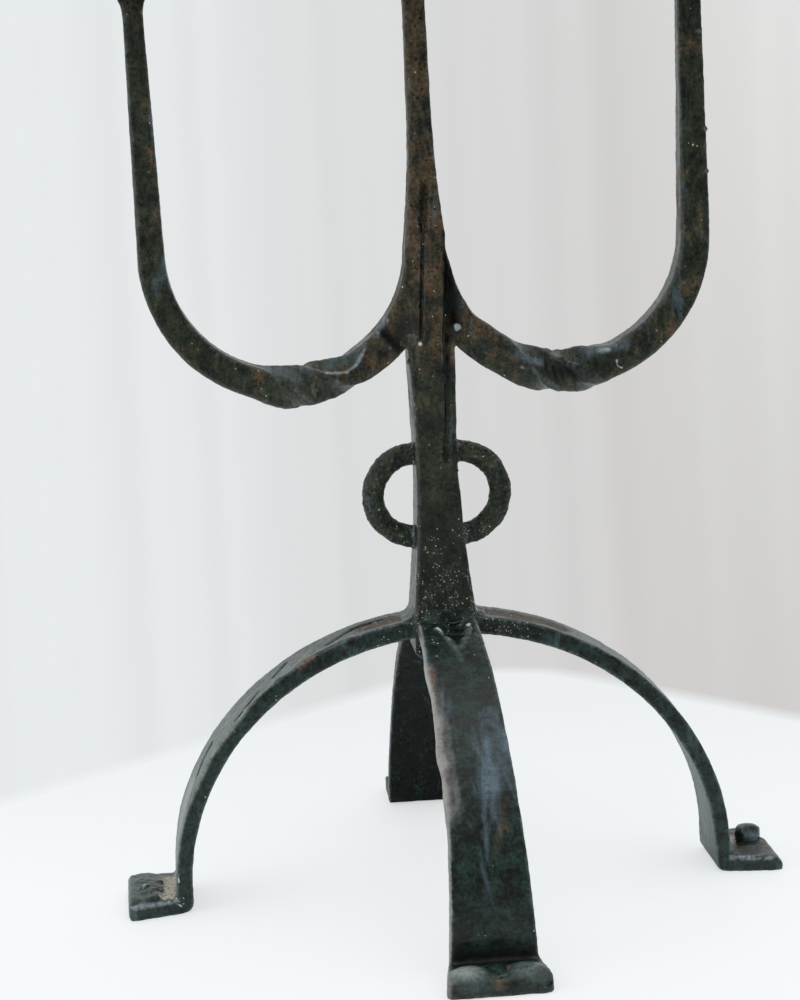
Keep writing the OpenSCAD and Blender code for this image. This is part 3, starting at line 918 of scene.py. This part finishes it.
legSkins = {
    "base": {
        "rust": 0.22, "sheen": 0.1, "pits": 0.6, "worn": 0.7, "dust": 0.8, "rough": 0.36,
        "gloss": 0.5, "grain": (1, 1, 0.8), "padWear": 1.3, "coat": "sea", "thin": 0.43,
        "relief": 0.7,
    },
    "left": {
        # a painted highlight on the faces turned to the left
        "side": 0.34, "sideTurn": (-0.3, -0.8), "sideColour": "coolHighlight", "fresh": 1.0,
        "rustAt": [([(-60, -5, 109)], 14, 0.08), ([(-20, 0, 124), (-34, 0, 120)], 12, 0.2)],
        "sandAt": [([(-127, 10, 8), (-128.5, -15, 7)], 6.5), ([(-131, -14, 7)], 5)],
        "dustAt": [([(-123.5, -17.7, 14)], 4, 0.15), ([(-124.5, -18.7, 7.5)], 5, 0.25)],
        "spotsAndGlints": [
            ([(-123.3, -17.7, 16.2), (-123, -17.7, 14.2)], 0.6, 0.9),
            ([(-125.6, -18.4, 8.4), (-124.6, -18.6, 7.2)], 0.6, 0.9),
            ([(-123.6, -19.7, 4.6), (-122.6, -19.5, 3.6)], 0.5, 0.8),
        ],
        # dark dirt and painted shade in the cracks and along the fold
        "shadeAndGrime": [
            ([(-70, 5, 104), (-76, -1.4, 100)], 1.0),
            ([(-105.2, 1.7, 70.3), (-111.8, -4.7, 59.3)], 2.6),
            ([(-111.8, -4.7, 59.3), (-117.1, -13.5, 47.3)], 1.2),
            ([(-83.4, -5, 94.3), (-94.5, -12.2, 84)], 0.9),
            ([(-27.5, 3.3, 121.1), (-40.1, 3.5, 117.8)], 2.0),
            ([(-40.1, 3.5, 117.8), (-52.1, -5, 113.4)], 1.5),
        ],
        "rubbedAndGlints": [([(-125, -20.5, 6.8), (-143, -25, 6.6)], 2.0, 0.9)],
        "painted": [
            # a painted highlight low on the outer face, which is turned to the light
            ([(-117, 0, 50), (-123.5, 0, 8)], 15, 0.55, "paleHighlight"),
            # the pad's own greener tone, and wear along its near edge
            ([(-136, -12, 8), (-136, 6, 8)], 14, 0.6, "sea"),
            ([(-126, -20.3, 6.9), (-142, -24.6, 6.7)], 2.2, 0.6, "worn"),
            # the lit edge along the arch
            ([(-23.2, -11.4, 122), (-48.4, -8.7, 115.2)], 1.5, 0.3, "side"),
            ([(-48.4, -8.7, 115.2), (-60.5, -8.8, 110)], 1.6, 0.45, "side"),
            ([(-60.5, -8.8, 110), (-75, -10, 100.6)], 1.6, 0.3, "side"),
            ([(-75, -10, 100.6), (-90.3, -13.4, 88.2)], 1.6, 0.4, "side"),
            ([(-90.3, -13.6, 88), (-105.5, -15, 70)], 2.2, 0.6, "paleHighlight"),
            ([(-105.5, -15, 70), (-117.5, -16.3, 47)], 2.0, 0.6, "paleHighlight"),
            ([(-59, -11, 110), (-65, -12, 106.5)], 2.8, 0.4, "blush"),
        ],
    },
    "right": {
        # a painted highlight on the faces turned to the left
        "side": 0.38, "sideTurn": (-0.3, -0.8), "sideColour": "coolHighlight",
        "rustAt": [([(135, 0, 8)], 22, 0.14), ([(20, 0, 123), (50, 0, 115)], 13, 0.25)],
        "sandAt": [([(128, 4, 7.5), (129, 9, 7.5)], 5)],
        "dustAt": [([(14, -11.2, 120), (28, -11.2, 117.5)], 10, 0.5)],
        "rubbedAndGlints": [([(124, -18.8, 6.8), (141, -21.4, 6.6)], 2.0, 0.9)],
        "painted": [
            ([(14, -11.2, 119), (40, -11.2, 114)], 7, 0.5, "black"),
            # a painted highlight low on the inner face, which faces the light
            ([(116.5, 3, 4), (116.5, 3, 26)], 15, 0.3, "coolHighlight"),
        ],
    },
    "front": {
        # a painted highlight on the faces turned to the left, and a painted blue sheen in streaks
        # down the front
        "side": 0.75, "sideTurn": (-0.35, -0.75), "sheen": 0.15, "sheenFrom": (42, 100),
        "streaks": (0.9, 0.2, 0.2), "thin": 0.46, "pits": 0.3, "dust": 0.3, "relief": 0.6,
        "sheenAt": [
            ([(4.5, -84, 94), (5.5, -99, 78)], 13, 0.09),
            ([(5.5, -99, 78), (2, -114, 55)], 9, 0.10),
            ([(-4, -74, 101), (-4, -104, 72)], 7, 0.11),
            ([(14, -92, 85), (15, -106, 70)], 5, 0.06),
        ],
        # painted glints on the hollow's lips and lumps
        "rubbedAndGlints": [([(-5.5, -24.8, 122), (-3.6, -28, 121.5)], 1.8, 1.0)],
        "spotsAndGlints": [
            ([(-5.2, -25.2, 122.6), (-3.8, -27.8, 122.2)], 1.2, 1.0),
            ([(5.4, -22.4, 123), (8.6, -22.6, 122.6)], 1.8, 1.0),
        ],
        # painted shade and dirt in the hollow, and painted shade across the leg's foot above the
        # pad
        "shadeAndGrime": [
            ([(3, -19, 122.5), (2.5, -28, 120.5)], 5.5),
            ([(-12, -125, 9), (14, -125, 9)], 5),
        ],
        "painted": [
            # painted highlights on the hollow's lips
            ([(-5.2, -25, 122.4), (-3.2, -28.5, 121.8)], 1.1, 0.9, "dust"),
            ([(-3.6, -28, 121.5), (0, -42, 117.4)], 2.2, 0.45, "coolHighlight"),
            ([(7.4, -28, 121.3), (2.5, -42, 117.4)], 2.2, 0.4, "coolHighlight"),
            ([(0.5, -42, 117.4), (1.5, -50, 114)], 2.4, 0.2, "coolHighlight"),
            # painted highlight on the pale left rim, which faces the light
            ([(-14, -30, 119), (-14, -54, 111)], 4.2, 0.75, "coolHighlight"),
            ([(-14.4, -52.8, 109.2), (-14.4, -78.6, 95.1)], 6.2, 0.95, "side"),
            ([(-14.4, -78.6, 95.1), (-14.4, -93.5, 81.6)], 6.2, 0.95, "side"),
            ([(-14.4, -93.5, 81.6), (-14.4, -106.2, 65)], 6.0, 0.9, "side"),
            ([(-14.4, -106.2, 65), (-14.4, -113, 49.5)], 5.0, 0.5, "coolHighlight"),
            ([(-12, -54.4, 112.2), (-12, -61.5, 108.8)], 2.8, 0.38, "blush"),
            ([(11, -106, 69), (4.1, -116.6, 48.7)], 2.6, 0.18, "earth"),
            # painted highlights on the pad's two lumps, and the ridge between them
            ([(-11, -139, 10)], 13, 0.9, "coolHighlight"),
            ([(-11.5, -139.5, 10)], 8, 0.9, "paleHighlight"),
            ([(13, -139, 10)], 12, 0.6, "coolHighlight"),
            ([(1, -136, 9), (0.5, -146, 5)], 5, 0.4, "earth"),
        ],
    },
    "back": {"sheen": 0.0, "rust": 0.05, "worn": 0.2, "dust": 0.0, "gloss": 0.2, "thin": 0.52},
}
hubLook = {
    "cell": 0.5,
    "soften": 24,
    "bottom": 104,
    "top": 137,
    "reach": 27,
    # how far it lies under the skins of the stem and the legs, away from the corners
    "under": 0.28,
    # a hollow with two lips that runs on over the front leg
    "hollow": [
        ([(3, -19, 123), (2.5, -28, 121)], 6, 5, 3.0),
        ([(-5.5, -24.8, 121.9), (-3.6, -28, 121.3), (0.4, -42.5, 117.1)], 1, 2.4, -0.9),
        ([(7.0, -23, 122.1), (7.4, -29.8, 120.8), (1.5, -42.5, 117.1)], 1, 2.4, -0.8),
    ],
    "strokes": [
        ([(6.2, -20.5, 123)], 2, 2.5, -1.0),
        ([(9, -20, 122.8)], 2, 2.5, -0.8),
        ([(-16, -4, 126), (-16, 6, 126)], 2, 4, -0.5),
        ([(17, -6, 125)], 2, 3, -0.8),
        ([(18, 4, 125)], 2, 3, -0.6),
    ],
    "skin": {
        "rust": 0.25, "sheen": 0.2, "pits": 0.8, "worn": 0.9, "dust": 1.3, "rough": 0.34,
        "gloss": 0.5, "coat": "sea", "painted": barSkin["painted"],
        "dustAt": [([(14, -11.2, 120), (26, -11.2, 118)], 9, 0.35)],
        # painted shade and dirt in the hollow and round the stem's foot
        "shadeAndGrime": [
            ([(3, -19, 122.5), (2.5, -28, 120.5)], 5.5),
            ([(-13.7, -12.9, 111), (-10, -14, 110)], 4.0),
            ([(-14, -8, 110), (-14, 8, 106)], 9),
        ],
        # painted glints round the hollow
        "spotsAndGlints": [
            ([(5.6, -21.5, 123.4), (8.8, -21, 123)], 2.0, 1.0),
            ([(7, -18, 126)], 1.2, 0.9),
            ([(9.5, -17, 127)], 1.0, 0.9),
            ([(-3, -16.5, 128)], 0.8, 0.8),
        ],
    },
}
legHeadings = {"left": (-1, 0), "right": (1, 0), "front": (0, -1), "back": (0, 1)}


def startLeg(name):
    leg = copyOfNode(name + "_leg")
    revoxel(leg, legLook)
    pull(leg, legLook["rootFlare"].get(name, []))
    return leg


def makeHub(legs):
    # The weld metal: one skin over the stem's foot and the four roots. It lies under theirs, and
    # comes out where it fills the corners between them.
    look = hubLook
    hub = copyOfNode("leg_welds")
    foot = copyOfNode("stem", "stemFoot")
    roots = [twin(leg, "root") for leg in legs.values()]
    for (x, y), root in zip(legHeadings.values(), roots):
        cutOff(root, (x * look["reach"] * mm, y * look["reach"] * mm, 0), (x, y, 0))
    cutOff(foot, (0, 0, look["bottom"] * mm), (0, 0, -1))
    cutOff(foot, (0, 0, look["top"] * mm), (0, 0, 1))
    join(hub, [foot, *roots])
    skinOver(hub, look)
    modify(hub, "DISPLACE", strength=-look["under"] * mm, mid_level=0.0)
    press(hub, look["hollow"] + look["strokes"])
    hammer(hub, barDents)
    finishPiece(hub, "leg_welds", ironSkin("weldIron", look["skin"]))


def finishLeg(leg, name, chance):
    look = legLook
    soften(leg, look["soften"])
    strokes = list(look["strokes"][name])
    if name == "front":
        strokes += hubLook["hollow"]
    start, end = (Vector(place) for place in look["edges"][name])
    for _ in range(look["chips"][name]):
        place = tuple(start.lerp(end, chance.random()))
        reach, depth = (chance.uniform(*look[k]) for k in ("chipReach", "chipDepth"))
        strokes.append(([place], look["chipWidth"], reach, depth))
    pull(leg, look["raised"].get(name, []))
    ease(leg, look["eased"].get(name, []))
    press(leg, strokes)
    hammer(leg, barDents)
    skin = ironSkin(name + "LegIron", {**legSkins["base"], **legSkins[name]})
    finishPiece(leg, name + "_leg", skin)


chance = random.Random(7)       # the same chips on each run
legs = {name: startLeg(name) for name in legHeadings}
makeHub(legs)
for name, leg in legs.items():
    finishLeg(leg, name, chance)


rivetLook = {
    "cell": 0.42,
    "soften": 5,
    "seat": 6.9,        # the heads start here, on top of the pads
    "lift": 0.4,        # how far a head's middle bulges
    "liftWidth": 9,
    "liftReach": 4,
    "left": {
        "spread": (1.0, 1.9, 0.9), "shift": (-2, -3.5, 0), "cuts": [],
        "strokes": [
            ([(-142, 2, 10), (-137, 6, 11)], 2, 3, -1.2),
            ([(-137, -8, 10), (-133.5, 0, 11)], 0.5, 1.3, 0.8),
            ([(-140, -12, 10), (-136.5, -2, 11)], 0.8, 2.0, -0.7),
            ([(-143, -16, 9.5), (-139, -8, 10)], 0.8, 2.0, -0.7),
            ([(-138, -17, 9), (-134, -10, 9.5)], 0.8, 2.0, -0.7),
        ],
        "soften": 16, "dents": [(9, 2.2), (4, 1.0), (1.8, 0.5)], "lift": 1.4,
    },
    "right": {
        "spread": (1.05, 1.1, 1.0), "shift": (1.5, -0.6, 0),
        # two slanting facets: (place, outward)
        "cuts": [((136, -1.0, 11), (0.15, -0.75, 0.65)), ((131.6, 3, 12.6), (-0.8, -0.3, 0.5))],
        "strokes": [([(137, -3, 9)], 3, 4, -0.6)],
        "dents": [(8, 0.7), (2.4, 0.3)],
    },
    "front": {
        "spread": (0.8, 1.0, 0.75), "shift": (-1.5, -1, 0), "cuts": [],
        "strokes": [],
        "dents": [(9, 1.0), (2.4, 0.3)],
    },
    "back": {
        "spread": (1.2, 1.1, 1.0), "shift": (0, 0, 0), "cuts": [],
        "strokes": [([(1, 132, 11)], 2, 5, 1.0)],
        "dents": [(9, 1.4), (2.4, 0.4)],
    },
    "skin": {
        "rust": 0.3, "sheen": 0.2, "pits": 0.8, "worn": 0.8, "dust": 0.4, "rough": 0.32,
        "gloss": 0.55, "coat": "sea",
        "painted": [
            # painted sheen on the right head's front facet, rust on its top, and a painted glint on
            # the left head
            ([(137, -1.5, 9.5)], 5, 0.8, "steelSheen"),
            ([(134.5, 2.5, 14), (131.5, 3, 13)], 3.5, 0.4, "rustLight"),
            ([(-139.3, -10.5, 10.5), (-137, -5, 11)], 1.1, 0.9, "paleHighlight"),
        ],
    },
}


def makeRivet(name, skin):
    own = {**rivetLook, **rivetLook[name]}
    rivet = copyOfNode(name + "_foot_rivet")
    vertices = rivet.data.vertices
    head = [v.co.z > own["seat"] * mm for v in vertices]
    middle = sum((v.co for v in vertices), Vector()) / len(vertices)
    openWhole(rivet)
    bpy.ops.mesh.select_all(action="DESELECT")
    leaveEditMode()
    rivet.data.vertices.foreach_set("select", head)
    bpy.ops.object.mode_set(mode="EDIT")
    bpy.ops.transform.resize(value=own["spread"], center_override=(middle.x, middle.y, 0))
    bpy.ops.transform.translate(value=[v * mm for v in own["shift"]])
    leaveEditMode()
    for place, outward in own["cuts"]:
        cutOff(rivet, [v * mm for v in place], outward)
    skinOver(rivet, own)
    press(rivet, own["strokes"])
    bulge = [(middle.x / mm, middle.y / mm, 0)]
    pull(rivet, [(bulge, own["liftWidth"], own["liftReach"], (0, 0, own["lift"]))])
    hammer(rivet, own["dents"])
    finishPiece(rivet, name + "_foot_rivet", skin)


rivetSkin = ironSkin("rivetIron", rivetLook["skin"])
for name in legHeadings:
    makeRivet(name, rivetSkin)

smallLooks = {
    "bead": {"slot": "weld_iron", "cell": 0.4, "soften": 4, "dents": [(3.5, 1.2), (1.4, 0.5)]},
    "light": {"slot": "light_iron", "cell": 0.5, "soften": 3, "dents": [(12, 0.5), (3, 0.2)]},
    "skin": {"rust": 0.40, "sheen": 0.2, "pits": 0.7, "worn": 0.6, "dust": 0.4, "rough": 0.48,
             "gloss": 0.45},
}


def makeSmall(name, look, skin):
    piece = copyOfNode(name)
    skinOver(piece, look)
    hammer(piece, look["dents"])
    finishPiece(piece, name, skin)


makeSmall("ring_welds", smallLooks["bead"], ironSkin("beadIron", hubLook["skin"]))
lightSkin = ironSkin("lightIron", smallLooks["skin"])
for side in ("left", "center", "right"):
    makeSmall(side + "_pan", smallLooks["light"], lightSkin)
    makeSmall(side + "_socket", smallLooks["light"], lightSkin)


floorLook = {
    "side": 700 * mm,
    "farCorner": (72 * mm, 416 * mm),
    "turn": 39.4,             # degrees; one corner points away from the camera
    "cornerRound": 90 * mm,
    "cornerSteps": 16,
    "softEdge": 20 * mm,
    "colour": (0.89, 0.91, 0.92),
    "rough": 0.6,
    "gloss": 0.1,
    # what the camera sees: a paint that takes soft shadows, and a plain glow on top of it
    "seenColour": (0.40, 0.41, 0.415),
    "glow": (0.573, 0.582, 0.584),
    "glowFade": (0.02, 0.30, 1.0, 0.83),    # from one Y to another, and its strength there
}


def makeFloor():
    # A pale table top. Its rim fades into the backdrop, as an edge out of focus does.
    look = floorLook
    turn = math.radians(look["turn"])
    half = look["side"] / 2
    reach = half * math.sqrt(2)
    diagonal = turn + math.pi / 4
    farX, farY = look["farCorner"]
    middle = (farX - reach * math.cos(diagonal), farY - reach * math.sin(diagonal), 0)
    leaveEditMode()
    bpy.ops.object.select_all(action="DESELECT")
    bpy.ops.mesh.primitive_plane_add(size=look["side"], location=middle, rotation=(0, 0, turn))
    floor = bpy.context.active_object
    floor.name = "floor"
    bpy.ops.object.transform_apply(location=True, rotation=True, scale=True)
    bpy.ops.object.mode_set(mode="EDIT")
    bpy.ops.mesh.select_all(action="SELECT")
    bpy.ops.mesh.bevel(offset=look["cornerRound"], segments=look["cornerSteps"], affect="VERTICES")
    bpy.ops.mesh.select_all(action="SELECT")
    bpy.ops.mesh.inset(thickness=look["softEdge"])
    leaveEditMode()
    rim = floor.data.attributes.new("rim", "FLOAT", "POINT")
    fade = [1.0] * len(floor.data.vertices)
    for face in floor.data.polygons:
        if face.select:
            for i in face.vertices:
                fade[i] = 0.0
    rim.data.foreach_set("value", fade)

    skin = bpy.data.materials.new("floorPaint")
    skin.use_nodes = True
    tree = skin.node_tree
    seen = node(tree, "LightPath").outputs["Is Camera Ray"]
    shader = tree.nodes["Principled BSDF"]
    feed(shader.inputs["Base Color"], blend(seen, look["colour"], look["seenColour"]))
    feed(shader.inputs["Roughness"], look["rough"])
    feed(shader.inputs["Specular IOR Level"], look["gloss"])
    glow = node(tree, "Emission")
    feed(glow.inputs["Color"], look["glow"])
    axes = node(tree, "SeparateXYZ")
    feed(axes.inputs["Vector"], node(tree, "TexCoord").outputs["Object"])
    strength = rise(axes.outputs["Y"], *look["glowFade"])
    feed(glow.inputs["Strength"], times(seen, strength))
    bright = node(tree, "AddShader")
    feed(bright.inputs[0], shader.outputs["BSDF"])
    feed(bright.inputs[1], glow.outputs["Emission"])
    edge = node(tree, "Attribute", attribute_name="rim")
    both = node(tree, "MixShader")
    feed(both.inputs["Fac"], edge.outputs["Fac"])
    feed(both.inputs[1], bright.outputs["Shader"])
    feed(both.inputs[2], node(tree, "BsdfTransparent").outputs["BSDF"])
    feed(tree.nodes["Material Output"].inputs["Surface"], both.outputs["Shader"])
    floor.data.materials.append(skin)


roomLook = {
    "wallLeft": (0.80, 0.83, 0.84),
    "wallMiddle": (0.655, 0.65, 0.645),
    "wallRight": (0.77, 0.77, 0.765),
    "wallLow": (0.63, 0.62, 0.615),
    # headings between which one tone gives way to the next
    "leftToMiddle": (-0.02, 0.18),
    "middleToRight": (0.19, 0.25),
    "highToLow": (0.0, -0.26),
    "folds": 0.03,
    "foldCount": 9.0,
    "light": (0.95, 0.985, 1.0),
    "strength": 0.74,
    # how much light the iron mirrors from the room: from one heading to another, and its strength
    "mirrorBack": (-0.2, 0.8, 0.07, 0.95),
    "mirrorLeft": (-0.1, -0.9, 0.0, 0.80),
    "mirrorTop": (0.25, 0.9, 0.0, 0.60),
}


def lightWorld():
    room = roomLook
    world = bpy.data.worlds.new("studio")
    scene.world = world
    world.use_nodes = True
    tree = world.node_tree
    tree.nodes.clear()
    path = node(tree, "LightPath")
    heading = node(tree, "SeparateXYZ")
    feed(heading.inputs["Vector"], node(tree, "TexCoord").outputs["Generated"])

    def background(colour, strength):
        made = node(tree, "Background")
        feed(made.inputs["Color"], colour)
        feed(made.inputs["Strength"], strength)
        return made.outputs["Background"]

    def choose(share, a, b):
        made = node(tree, "MixShader")
        for socket, value in zip(made.inputs, (share, a, b)):
            feed(socket, value)
        return made.outputs["Shader"]

    # a pale cloth behind, with faint upright folds
    across, back, up = (heading.outputs[axis] for axis in "XYZ")
    right = rise(across, *room["middleToRight"])
    right = blend(right, room["wallMiddle"], room["wallRight"])
    right = blend(rise(up, *room["highToLow"]), right, room["wallLow"])
    wall = blend(rise(across, *room["leftToMiddle"]), room["wallLeft"], right)
    folds = node(tree, "TexNoise", noise_dimensions="1D")
    folds.inputs["Detail"].default_value = 1
    behind = rise(back, 0.0, 0.5)
    feed(folds.inputs["W"], times(across, behind, room["foldCount"]))
    folds = rise(folds.outputs["Fac"], 0.3, 0.7, 1 - room["folds"], 1 + room["folds"])

    backward = rise(back, *room["mirrorBack"])
    leftward = rise(across, *room["mirrorLeft"])
    upward = rise(up, *room["mirrorTop"])
    mirror = combine("MAXIMUM", upward, combine("MAXIMUM", leftward, backward))
    mirrored = background(room["light"], mirror)
    lit = background(room["light"], room["strength"])
    seen = combine("MAXIMUM", path.outputs["Is Camera Ray"], path.outputs["Is Transmission Ray"])
    result = choose(path.outputs["Is Glossy Ray"], lit, mirrored)
    result = choose(seen, result, background(wall, folds))
    feed(node(tree, "OutputWorld").inputs["Surface"], result)


lamps = {
    "leftWindow": {"place": (-4.5, -0.8, 2.6), "size": (4.0, 4.0), "watts": 46},
    "topSoft": {"place": (0.2, -0.1, 3.0), "size": (2.6, 2.6), "watts": 14},
}
lampAim = Vector((0, 0, 0.2))


def addLamps():
    for name, look in lamps.items():
        lamp = bpy.data.lights.new(name, "AREA")
        lamp.shape = "RECTANGLE"
        lamp.size, lamp.size_y = look["size"]
        lamp.energy = look["watts"]
        lamp.color = roomLook["light"]
        holder = bpy.data.objects.new(name, lamp)
        scene.collection.objects.link(holder)
        holder.location = look["place"]
        aim = lampAim - Vector(look["place"])
        holder.rotation_euler = aim.to_track_quat("-Z", "Y").to_euler()


makeFloor()
lightWorld()
addLamps()

scene.view_settings.view_transform = "Standard"
print("stage set")
